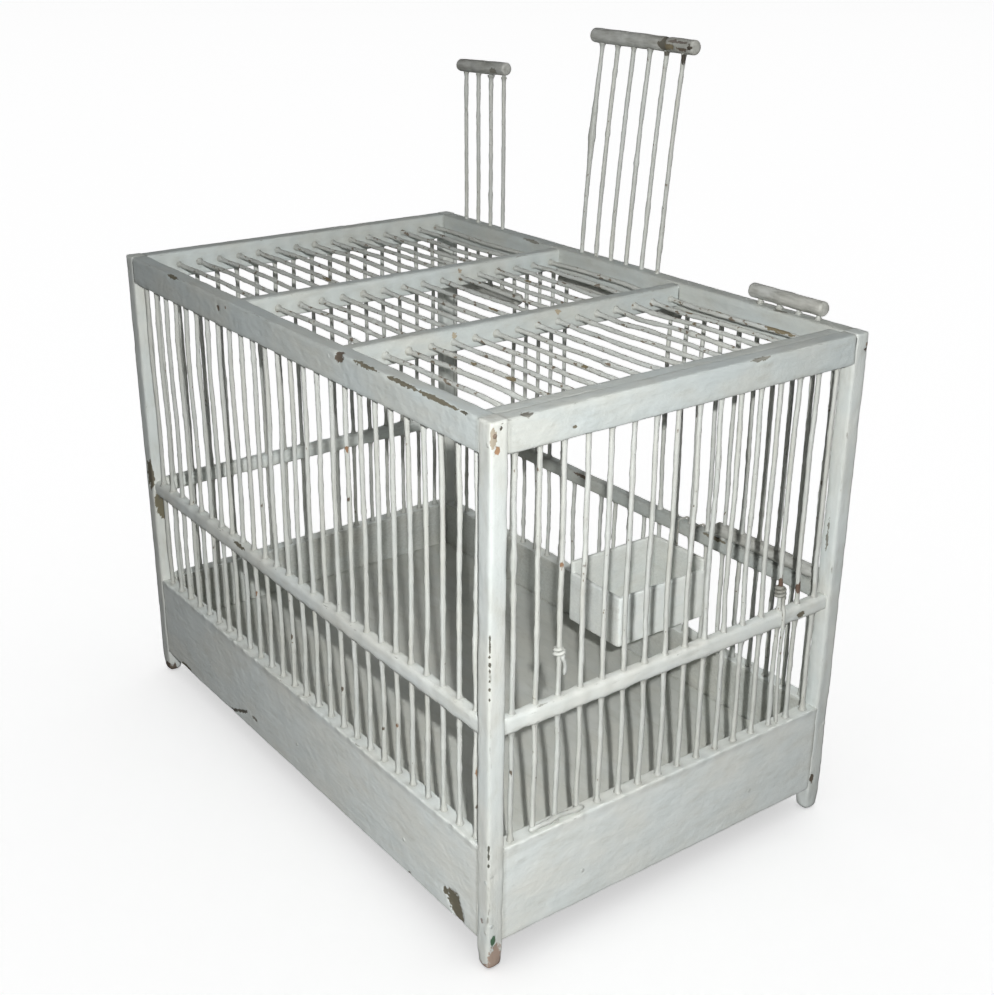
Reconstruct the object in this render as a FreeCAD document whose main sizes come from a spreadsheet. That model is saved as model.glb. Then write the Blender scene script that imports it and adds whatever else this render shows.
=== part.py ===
import FreeCAD, Part
import Sketcher
import math
import os
import re

# Bird cage. X runs along the long walls, Y from the front wall to the back wall with the doors,
# Z up from the ground under the feet. The origin is on the ground in the middle of the cage.

# Sizes in mm, and counts of wires.
SIZES = {
    "wire_pitch": 13.5,
    "long_wires": 26,
    "short_wires": 16,
    "wire_dia": 2.6,
    "wire_seat": 6,
    "wire_fit": 0.15,
    "slide_fit": 0.5,
    "post_size": 9.5,
    "frame_height": 282,
    "foot_drop": 15,
    "foot_round": 3.2,
    "board_height": 53,
    "board_inset": 0.5,
    "rail_height": 16,
    "rail_inset": 0.2,
    "mid_rail_height": 133,
    "mid_rail_tall": 9,
    "mid_rail_deep": 6.8,
    "mid_rail_round": 2.2,
    "sill_lift": 2.3,
    "floor_height": 37,
    "floor_thick": 6,
    "roof_wire_drop": 8,
    "roof_bar_reach": 54,
    "roof_bar_wide": 8,
    "roof_bar_tall": 12.5,
    "roof_bar_drop": 1,
    "end_bar_wide": 9.5,
    "side_door_wires": 4,
    "middle_door_wires": 6,
    "door_bar_dia": 8.4,
    "door_bar_over": 6,
    "door_gap": 0.3,
    "handle_dia": 8,
    "side_handle_over": 5.3,
    "middle_handle_over": 8.5,
    "handle_gap": 0.3,
    "end_round": 1.2,
    "left_door_lift": 94.5,
    "feeder_wide": 45,
    "feeder_long": 67.4,
    "feeder_tall": 38.2,
    "feeder_top": 123.7,
    "feeder_wall": 3,
    "feeder_cut": 7,
    "feeder_shift": 5.3,
    "hook_dia": 1.2,
    "hook_bend": 1.5,
    "hook_seat": 10,
    "hook_drop": 9,
    "hook_gap": 0.1,
    "hook_fit": 0.1,
    "nail_dia": 1.6,
    "nail_long": 20,
    "nail_fit": 0.1,
    "nail_clear": 0.5,
    "nail_step": 4,
    "mend_dia": 1.6,
    "mend_fit": 0.25,
    "mend_pitch": 2.2,
    "long_mend_turns": 3,
    "long_mend_height": 144.8,
    "short_mend_turns": 2,
    "short_mend_height": 158.5,
}

# Places worked out from the sizes.
LENGTH = "(long_wires * wire_pitch + 2 * post_size)"
DEPTH = "(short_wires * wire_pitch + 2 * post_size)"
WALL_X = f"({LENGTH} / 2 - post_size / 2)"
WALL_Y = f"({DEPTH} / 2 - post_size / 2)"
INNER_X = f"({LENGTH} / 2 - post_size)"
INNER_Y = f"({DEPTH} / 2 - post_size)"
BOARD_TOP = "(foot_drop + board_height)"
BOARD_OFF = "((post_size - board_inset) / 2)"
RAIL_LOW = "(frame_height - rail_height)"
RAIL_OFF = "((post_size - rail_inset) / 2)"
SILL = "(mid_rail_height + sill_lift)"
SILL_TOP = f"({SILL} + mid_rail_tall / 2)"
ROOF_WIRE = "(frame_height - roof_wire_drop)"
ROOF_BAR = "(frame_height - roof_bar_drop - roof_bar_tall / 2)"
DOOR_BAR = f"({SILL_TOP} + door_gap + door_bar_dia / 2)"
HANDLE = "(frame_height + handle_gap + handle_dia / 2)"
DOOR_TRAVEL = f"({RAIL_LOW} - door_gap - {DOOR_BAR} - door_bar_dia / 2)"
FIXED_BORE = "(wire_dia + 2 * wire_fit)"
SLIDE_BORE = "(wire_dia + 2 * slide_fit)"
NAIL_OUT = "(wire_dia / 2 + nail_clear + nail_dia / 2)"

UP = FreeCAD.Rotation()
ALONG_X = FreeCAD.Rotation(FreeCAD.Vector(0, 1, 0), 90)
ALONG_Y = FreeCAD.Rotation(FreeCAD.Vector(1, 0, 0), -90)
QUARTER = FreeCAD.Rotation(FreeCAD.Vector(0, 0, 1), 90)
RING_OUT = FreeCAD.Rotation(FreeCAD.Vector(1, 1, 1), 120)
RING_IN = FreeCAD.Rotation(FreeCAD.Vector(1, 0, 0), 90) * RING_OUT

doc = FreeCAD.newDocument("bird_cage")
sheet = doc.addObject("Spreadsheet::Sheet", "sizes")
for row, (name, value) in enumerate(SIZES.items(), start=1):
    sheet.set(f"A{row}", name)
    sheet.set(f"B{row}", str(value))
    sheet.setAlias(f"B{row}", name)
doc.recompute()

pieces = []


def bind(thing, prop, formula):
    """Drive a property from the sheet by a formula of size names."""
    def cell(word):
        return f"sizes.{word[0]}" if word[0] in SIZES else word[0]
    thing.setExpression(prop, re.sub(r"[a-z]\w*", cell, formula))


def place(thing, x, y, z, turn=UP):
    thing.Placement = FreeCAD.Placement(FreeCAD.Vector(), turn)
    bind(thing, "Placement.Base.x", x)
    bind(thing, "Placement.Base.y", y)
    bind(thing, "Placement.Base.z", z)


def keep(thing, label):
    """Name a finished piece and put it on the list that is written out."""
    thing.Label = label
    pieces.append(thing)
    return thing


def rod(diameter, long, x, y, z, turn=UP):
    cylinder = doc.addObject("Part::Cylinder", "rod")
    bind(cylinder, "Radius", f"{diameter} / 2")
    bind(cylinder, "Height", long)
    place(cylinder, x, y, z, turn)
    return cylinder


def block(wide, deep, tall, x, y, z):
    box = doc.addObject("Part::Box", "block")
    bind(box, "Length", wide)
    bind(box, "Width", deep)
    bind(box, "Height", tall)
    place(box, x, y, z)
    return box


def group(items):
    compound = doc.addObject("Part::Compound", "group")
    compound.Links = items
    return compound


def cut(blank, *tools):
    """Take each tool in turn out of a blank."""
    for tool in tools:
        result = doc.addObject("Part::Cut", "cut")
        result.Base = blank
        result.Tool = tool
        blank = result
    return blank


def sketch_in(body, role):
    sketch = body.newObject("Sketcher::SketchObject", "profile")
    planes = [plane for plane in body.Origin.OriginFeatures if plane.Role == role]
    sketch.AttachmentSupport = [(planes[0], "")]
    sketch.MapMode = "FlatFace"
    return sketch


def rectangle(sketch, wide, high):
    """A rectangle centred on the sketch's origin."""
    corners = [FreeCAD.Vector(x, y) for x, y in ((-5, -5), (5, -5), (5, 5), (-5, 5))]
    for index in range(4):
        sketch.addGeometry(Part.LineSegment(corners[index], corners[(index + 1) % 4]))
    for index in range(4):
        sketch.addConstraint(Sketcher.Constraint("Coincident", index, 2, (index + 1) % 4, 1))
    for index in (0, 2):
        sketch.addConstraint(Sketcher.Constraint("Horizontal", index))
        sketch.addConstraint(Sketcher.Constraint("Vertical", index + 1))
    sketch.addConstraint(Sketcher.Constraint("Symmetric", 0, 1, 1, 2, -1, 1))
    for axis, edge, name, formula in (("X", 0, "wide", wide), ("Y", 1, "high", high)):
        number = sketch.addConstraint(Sketcher.Constraint(f"Distance{axis}", edge, 1, edge, 2, 10))
        sketch.renameConstraint(number, name)
        bind(sketch, f"Constraints.{name}", formula)


def disc(sketch, diameter):
    sketch.addGeometry(Part.Circle(FreeCAD.Vector(), FreeCAD.Vector(0, 0, 1), 5))
    sketch.addConstraint(Sketcher.Constraint("Coincident", 0, 3, -1, 1))
    number = sketch.addConstraint(Sketcher.Constraint("Diameter", 0, 10))
    sketch.renameConstraint(number, "across")
    bind(sketch, "Constraints.across", diameter)


def padded(role, draw, long, side):
    """A body with one sketch, drawn by the given function, padded to a length."""
    body = doc.addObject("PartDesign::Body", "body")
    sketch = sketch_in(body, role)
    draw(sketch)
    pad = body.newObject("PartDesign::Pad", "pad")
    pad.Profile = sketch
    pad.SideType = side
    bind(pad, "Length", long)
    doc.recompute()
    return body, pad


def soften(body, pad, radius, chosen):
    """Round the edges of a pad that the given test picks."""
    fillet = body.newObject("PartDesign::Fillet", "fillet")
    names = [f"Edge{n}" for n, edge in enumerate(pad.Shape.Edges, start=1) if chosen(edge)]
    fillet.Base = (pad, names)
    bind(fillet, "Radius", radius)
    return body


def bar(long, deep, tall):
    """A straight bar along X, centred on its own origin."""
    return padded("YZ_Plane", lambda sketch: rectangle(sketch, deep, tall), long, "Symmetric")


def lengthwise(edge):
    return edge.BoundBox.XLength > 1


def dowel(diameter, long):
    """A round bar along X with softened ends, centred on its own origin."""
    body, pad = padded("YZ_Plane", lambda sketch: disc(sketch, diameter), long, "Symmetric")
    return soften(body, pad, "end_round", lambda edge: not lengthwise(edge))


def spaced(index, count):
    """Place of one wire of an evenly spaced row, counted from zero."""
    return f"(({index} - ({count} - 1) / 2) * wire_pitch)"


def row_of(count):
    return range(int(sheet.get(count)))


def uprights(places, low, high, diameter):
    return group([rod(diameter, f"{high} - {low}", x, y, low) for x, y in places])


# Doors of the back wall: first wire of each and its count, counted along the wall, lift
# and the handle's reach past the outer wires.
side_count = int(sheet.get("side_door_wires"))
middle_count = int(sheet.get("middle_door_wires"))
long_count = int(sheet.get("long_wires"))
DOORS = {
    "left": (1, side_count, "left_door_lift", "side_handle_over"),
    "middle": ((long_count - middle_count) // 2, middle_count, DOOR_TRAVEL, "middle_handle_over"),
    "right": (long_count - 1 - side_count, side_count, "0", "side_handle_over"),
}
door_places = [n for first, count, *_ in DOORS.values() for n in range(first, first + count)]

# Wires of the walls and the roof, each with the bores that it stands in.
wall_low = f"({BOARD_TOP} - wire_seat)"
wall_high = f"({RAIL_LOW} + wire_seat)"
front_places = [(spaced(n, "long_wires"), f"-{WALL_Y}") for n in row_of("long_wires")]
left_places = [(f"-{WALL_X}", spaced(n, "short_wires")) for n in row_of("short_wires")]
right_places = [(WALL_X, spaced(n, "short_wires")) for n in row_of("short_wires")]
tall_places = [(spaced(n, "long_wires"), WALL_Y) for n in row_of("long_wires") if n not in door_places]
short_places = [(spaced(n, "long_wires"), WALL_Y) for n in door_places]
WALLS = {
    "wires_front": (front_places, wall_high),
    "wires_left": (left_places, wall_high),
    "wires_right": (right_places, wall_high),
    "wires_back": (tall_places, wall_high),
    "wires_under_doors": (short_places, SILL),
}
bores = {}
for label, (places, high) in WALLS.items():
    keep(uprights(places, wall_low, high, "wire_dia"), label)
    bores[label] = uprights(places, wall_low, high, FIXED_BORE)

roof_from = f"(-{INNER_X} - wire_seat)"
roof_long = f"(2 * {INNER_X} - end_bar_wide + 2 * wire_seat)"


def roof_rods(diameter):
    rows = [spaced(n, "short_wires") for n in row_of("short_wires")]
    return group([rod(diameter, roof_long, roof_from, y, ROOF_WIRE, ALONG_X) for y in rows])


keep(roof_rods("wire_dia"), "wires_roof")
bores["wires_roof"] = roof_rods(FIXED_BORE)

# Nails: through the posts into rails and boards, through the rails into the roof bars,
# and through the boards into the floor.
rail_nail = "(frame_height - 1.5 * nail_step)"
board_nails = ["(foot_drop + 3 * nail_step)", f"({BOARD_TOP} - 3 * nail_step)"]
floor_nail = "(floor_height - floor_thick / 2)"
bar_nail = "(frame_height - roof_bar_drop - 0.75 * nail_step)"
nail_places = []
for side in ("", "-"):
    for z in [rail_nail] + board_nails:
        for end in ("", "-"):
            across = (f"{end}({LENGTH} / 2)", f"{side}({WALL_Y} + {NAIL_OUT})", z, "x")
            along = (f"{end}({WALL_X} + {NAIL_OUT})", f"{side}({DEPTH} / 2)", f"{z} - nail_step", "y")
            nail_places += [across, along]
    for x in ("-roof_bar_reach", "roof_bar_reach", f"({INNER_X} - end_bar_wide / 2)"):
        nail_places.append((x, f"{side}({DEPTH} / 2 - rail_inset)", bar_nail, "y"))
    for share in (-0.3, 0, 0.3):
        board_y = f"{side}({DEPTH} / 2 - board_inset)"
        nail_places.append((f"{share} * {LENGTH}", board_y, floor_nail, "y"))
    for share in (-0.25, 0.25):
        board_x = f"{side}({LENGTH} / 2 - board_inset)"
        nail_places.append((board_x, f"{share} * {DEPTH}", floor_nail, "x"))


def nail_rods(diameter):
    """Every nail starts flush with the face that it is driven into and points inward."""
    rods = []
    for x, y, z, along in nail_places:
        start = {"x": x, "y": y}
        if not start[along].startswith("-"):
            start[along] += " - nail_long"
        turn = ALONG_X if along == "x" else ALONG_Y
        rods.append(rod(diameter, "nail_long", start["x"], start["y"], z, turn))
    return group(rods)


keep(nail_rods("nail_dia"), "nails")
nail_bores = nail_rods("(nail_dia + 2 * nail_fit)")

# Corner posts, whose rounded lower ends are the feet.
for name, x, y in (
    ("front_left", f"-{WALL_X}", f"-{WALL_Y}"),
    ("front_right", WALL_X, f"-{WALL_Y}"),
    ("back_left", f"-{WALL_X}", WALL_Y),
    ("back_right", WALL_X, WALL_Y),
):
    body, pad = padded(
        "XY_Plane", lambda sketch: rectangle(sketch, "post_size", "post_size"), "frame_height", "One side"
    )
    soften(body, pad, "foot_round", lambda edge: edge.BoundBox.ZMax < 1e-3)
    place(body, x, y, "0")
    keep(cut(body, nail_bores), f"post_{name}")

# Boards, mid rails and top rails of the four walls, drilled for their wires.
door_bores = []
for first, count, *_ in DOORS.values():
    for n in range(first, first + count):
        door_bores.append(rod(SLIDE_BORE, "rail_height", spaced(n, "long_wires"), WALL_Y, RAIL_LOW))
door_bores = group(door_bores)

board_mid = "(foot_drop + board_height / 2)"
rail_mid = "(frame_height - rail_height / 2)"


def stand(body, side, reach_x, reach_y, z):
    """Put a bar that was made along X into one of the four walls."""
    x, y, turn = {
        "front": ("0", f"-{reach_y}", UP),
        "back": ("0", reach_y, UP),
        "left": (f"-{reach_x}", "0", QUARTER),
        "right": (reach_x, "0", QUARTER),
    }[side]
    place(body, x, y, z, turn)


for side, long, more_bores, rail_bores in (
    ("front", f"2 * {INNER_X}", [], []),
    ("back", f"2 * {INNER_X}", [bores["wires_under_doors"]], [door_bores]),
    ("left", f"2 * {INNER_Y}", [], [bores["wires_roof"]]),
    ("right", f"2 * {INNER_Y}", [], []),
):
    wall_bores = [bores[f"wires_{side}"]] + more_bores

    board, pad = bar(long, "post_size - board_inset", "board_height")
    stand(board, side, f"({INNER_X} + {BOARD_OFF})", f"({INNER_Y} + {BOARD_OFF})", board_mid)
    keep(cut(board, nail_bores, *wall_bores), f"base_board_{side}")

    strip, pad = bar(long, "mid_rail_deep", "mid_rail_tall")
    soften(strip, pad, "mid_rail_round", lengthwise)
    stand(strip, side, WALL_X, WALL_Y, SILL if side == "back" else "mid_rail_height")
    keep(cut(strip, *wall_bores), "door_sill" if side == "back" else f"mid_rail_{side}")

    rail, pad = bar(long, "post_size - rail_inset", "rail_height")
    stand(rail, side, f"({INNER_X} + {RAIL_OFF})", f"({INNER_Y} + {RAIL_OFF})", rail_mid)
    keep(cut(rail, nail_bores, bores[f"wires_{side}"], *rail_bores), f"top_rail_{side}")

# Two bars across the roof, and a third against the right end rail that takes the roof wires' ends.
for name, x, wide in (
    ("roof_bar_left", "-roof_bar_reach", "roof_bar_wide"),
    ("roof_bar_right", "roof_bar_reach", "roof_bar_wide"),
    ("roof_bar_end", f"({INNER_X} - end_bar_wide / 2)", "end_bar_wide"),
):
    cross, pad = bar(f"2 * {INNER_Y}", wide, "roof_bar_tall")
    place(cross, x, "0", ROOF_BAR, QUARTER)
    keep(cut(cross, nail_bores, bores["wires_roof"]), name)

floor = block(f"2 * {INNER_X}", f"2 * {INNER_Y}", "floor_thick", f"-{INNER_X}", f"-{INNER_Y}",
              "floor_height - floor_thick")
keep(cut(floor, nail_bores), "floor_panel")

# Sliding doors: a handle above the rail, wires through the rail, and a bottom bar that
# slides on the fixed wire at either side.
for side, (first, count, lift, over) in DOORS.items():
    middle = spaced(f"({first} + ({count} - 1) / 2)", "long_wires")
    bar_z = f"({DOOR_BAR} + {lift})"
    handle_z = f"({HANDLE} + {lift})"
    places = [(spaced(n, "long_wires"), WALL_Y) for n in range(first, first + count)]
    keep(uprights(places, bar_z, handle_z, "wire_dia"), f"door_{side}_wires")
    seats = uprights(places, bar_z, handle_z, FIXED_BORE)
    guides = [(spaced(n, "long_wires"), WALL_Y) for n in (first - 1, first + count)]
    below = f"({bar_z} - door_bar_dia)"
    above = f"({bar_z} + door_bar_dia)"
    guide_bores = uprights(guides, below, above, SLIDE_BORE)

    handle = dowel("handle_dia", f"({count} - 1) * wire_pitch + 2 * {over}")
    place(handle, middle, WALL_Y, handle_z)
    keep(cut(handle, seats), f"door_{side}_handle")

    foot = dowel("door_bar_dia", f"({count} + 1) * wire_pitch + 2 * door_bar_over")
    place(foot, middle, WALL_Y, bar_z)
    keep(cut(foot, seats, guide_bores), f"door_{side}_bar")

# Feeder box with two low sides, carried by two hooks over the door sill.
hook_gaps = [17.5, 18.5]
leg_y = f"({WALL_Y} - mid_rail_deep / 2 - hook_gap - hook_dia / 2)"
tip_y = f"({WALL_Y} + mid_rail_deep / 2 + hook_gap + hook_dia / 2)"
hook_top = f"({SILL_TOP} + hook_gap + hook_dia / 2)"
leg_low = "(feeder_top - hook_seat)"
bend_z = f"({hook_top} - hook_bend)"
hooks = []
hook_bores = []
for gap in hook_gaps:
    x = spaced(gap, "long_wires")
    hook = doc.addObject("Part::MultiFuse", "hook")
    bends = []
    for y, turn in ((f"{leg_y} + hook_bend", RING_IN), (f"{tip_y} - hook_bend", RING_OUT)):
        bend = doc.addObject("Part::Torus", "bend")
        bind(bend, "Radius1", "hook_bend")
        bind(bend, "Radius2", "hook_dia / 2")
        bend.Angle3 = 90
        place(bend, x, y, bend_z, turn)
        bends.append(bend)
    hook.Shapes = bends + [
        rod("hook_dia", f"{bend_z} - {leg_low}", x, leg_y, leg_low),
        rod("hook_dia", f"{tip_y} - {leg_y} - 2 * hook_bend", x, f"{leg_y} + hook_bend", hook_top, ALONG_Y),
        rod("hook_dia", "hook_drop", x, tip_y, f"{bend_z} - hook_drop"),
    ]
    hooks.append(hook)
    hook_bores.append(rod("(hook_dia + 2 * hook_fit)", f"{bend_z} - {leg_low}", x, leg_y, leg_low))
keep(group(hooks), "feeder_hooks")

feeder_back = f"({leg_y} + feeder_wall / 2)"
feeder_front = f"({feeder_back} - feeder_long)"
feeder_left = f"({spaced(18, 'long_wires')} - feeder_shift - feeder_wide / 2)"
feeder_low = "(feeder_top - feeder_tall)"
outside = block("feeder_wide", "feeder_long", "feeder_tall", feeder_left, feeder_front, feeder_low)
cavity = block("feeder_wide - 2 * feeder_wall", "feeder_long - 2 * feeder_wall", "feeder_tall",
               f"{feeder_left} + feeder_wall", f"{feeder_front} + feeder_wall", f"{feeder_low} + feeder_wall")
low_sides = block("feeder_wide", "feeder_long", "feeder_tall", f"{feeder_left} + feeder_wall",
                  f"{feeder_front} - feeder_wall", "feeder_top - feeder_cut")
keep(cut(outside, cavity, low_sides, group(hook_bores)), "feeder_box")

# Mends: a wire wound round a wire of the right end wall. Each half turn is an arc that tilts up,
# so that the arcs meet with one direction.
def winding(turns, high, wire_number):
    strand = sheet.get("mend_dia")
    pitch = sheet.get("mend_pitch")
    radius = sheet.get("wire_dia") / 2 + sheet.get("mend_fit") + strand / 2
    reach = math.sqrt(radius ** 2 - (pitch / 4) ** 2)
    start = FreeCAD.Vector(reach, -strand, 0)
    corner = FreeCAD.Vector(reach, 0, 0)
    edges = [Part.makeLine(start, corner)]
    for half in range(2 * int(sheet.get(turns))):
        side = -1 if half % 2 else 1
        top = FreeCAD.Vector(0, side * radius, (half + 0.5) * pitch / 2)
        end = FreeCAD.Vector(-side * reach, 0, (half + 1) * pitch / 2)
        edges.append(Part.Arc(corner, top, end).toShape())
        corner = end
    edges.append(Part.makeLine(corner, corner + FreeCAD.Vector(0, strand, 0)))
    path = Part.Wire(edges)
    section = Part.Wire([Part.makeCircle(strand / 2, start, FreeCAD.Vector(0, 1, 0))])
    feature = doc.addObject("Part::Feature", "winding")
    feature.Shape = path.makePipeShell([section], True, False)
    place(feature, WALL_X, spaced(wire_number, "short_wires"), high)
    points = path.discretize(Distance=strand / 4)
    apart = int(4 * math.pi * radius / strand)
    gaps = [a.distanceToPoint(b) for n, a in enumerate(points) for b in points[n + apart:]]
    print("winding: least gap to itself", round(min(gaps) - strand, 2), "mm")
    return feature


LONG_MEND_WIRE = 13
SHORT_MEND_WIRE = 2
mends = [
    winding("long_mend_turns", "long_mend_height", LONG_MEND_WIRE),
    winding("short_mend_turns", "short_mend_height", SHORT_MEND_WIRE),
]
keep(group(mends), "mend_wires")

doc.recompute()
for thing in doc.Objects:
    if "Invalid" in thing.State or "Error" in thing.State:
        raise RuntimeError(f"{thing.Label}: {thing.State}")
os.makedirs("parts", exist_ok=True)
for piece in pieces:
    if piece.Shape.isNull() or not piece.Shape.isValid():
        raise RuntimeError(f"{piece.Label}: no valid shape")
    piece.Shape.exportStep(f"parts/{piece.Label}.step")
print(len(pieces), "pieces")
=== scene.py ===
"""Bird cage: painted wooden frame, painted wires, three sliding doors and a hung feeder box."""
import math

import bpy
import numpy as np
from mathutils import Matrix, Vector


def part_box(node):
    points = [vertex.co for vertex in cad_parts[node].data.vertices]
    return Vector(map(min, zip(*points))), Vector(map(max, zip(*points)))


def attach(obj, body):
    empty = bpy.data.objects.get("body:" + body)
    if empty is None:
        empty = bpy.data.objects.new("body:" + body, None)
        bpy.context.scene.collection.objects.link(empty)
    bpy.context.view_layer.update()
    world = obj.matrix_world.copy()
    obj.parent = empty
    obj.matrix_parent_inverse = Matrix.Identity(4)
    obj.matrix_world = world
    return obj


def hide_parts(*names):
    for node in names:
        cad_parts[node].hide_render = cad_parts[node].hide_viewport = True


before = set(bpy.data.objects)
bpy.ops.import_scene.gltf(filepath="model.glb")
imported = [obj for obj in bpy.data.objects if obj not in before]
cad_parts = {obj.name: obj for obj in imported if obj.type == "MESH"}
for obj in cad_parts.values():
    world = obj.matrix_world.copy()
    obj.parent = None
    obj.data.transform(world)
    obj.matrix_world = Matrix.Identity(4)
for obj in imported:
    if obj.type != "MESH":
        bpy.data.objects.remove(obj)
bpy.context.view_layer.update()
scene = bpy.context.scene
MM = 0.001

# Heights and planes of the cage, in millimetres, that several pieces share.
BOARD_TOP = 68.0
RAIL_UNDER = 266.0
RAIL_TOP = 282.0
MID_RAIL = (128.5, 137.5)
SILL = (130.8, 139.8)
END_INNER = 175.5
ROOF_BAR_X = 54.0
ROOF_BAR_HALF = 4.0
END_BAR_X = 166.0
END_WALL_X = 180.25
PITCH = 13.5

# Colours, linear.
OLIVE = (0.145, 0.135, 0.098)
UMBER = (0.115, 0.092, 0.072)
PINK_WOOD = (0.37, 0.275, 0.225)
TAN_WOOD = (0.34, 0.30, 0.235)
RUST = (0.25, 0.135, 0.07)
DARK = (0.03, 0.026, 0.022)
GREEN = (0.012, 0.11, 0.055)
GREY_OLD = (0.25, 0.25, 0.22)
CRACK = (0.11, 0.108, 0.09)
CHIP = (0.075, 0.078, 0.065)
NAIL_BROWN = (0.21, 0.155, 0.115)
STAIN = (0.16, 0.145, 0.095)
FLAKE = (0.13, 0.088, 0.05)
OLD_GRAIN = (0.2, 0.17, 0.12)

# What the paint reads at each point, beside its flow and tint.
PAINT_VALUES = ("mask", "edge", "grime_and_shade", "rust")


def lattice(i, j, k, seed):
    """Repeatable values from -1 to 1 at whole-number points."""
    h = (i * 374761393 + j * 668265263 + k * 1274126177 + seed * 974711) & 0xFFFFFFFF
    h = ((h ^ (h >> 13)) * 1274126177) & 0xFFFFFFFF
    return ((h ^ (h >> 16)) & 0xFFFF) / 32767.5 - 1.0


def noise(points, size, seed=0):
    """Smooth noise from -1 to 1 with lumps of the given size, which may differ by axis."""
    q = np.asarray(points, float) / size
    i = np.floor(q).astype(np.int64)
    f = q - i
    f = f * f * (3 - 2 * f)
    total = np.zeros(len(q))
    for a in (0, 1):
        wa = f[:, 0] if a else 1 - f[:, 0]
        for b in (0, 1):
            wb = f[:, 1] if b else 1 - f[:, 1]
            for c in (0, 1):
                wc = f[:, 2] if c else 1 - f[:, 2]
                total += wa * wb * wc * lattice(i[:, 0] + a, i[:, 1] + b, i[:, 2] + c, seed)
    return total


def smooth(x, low, high):
    """Eases from 0 at the low value to 1 at the high one."""
    t = np.clip((x - low) / (high - low), 0, 1)
    return t * t * (3 - 2 * t)


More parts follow.
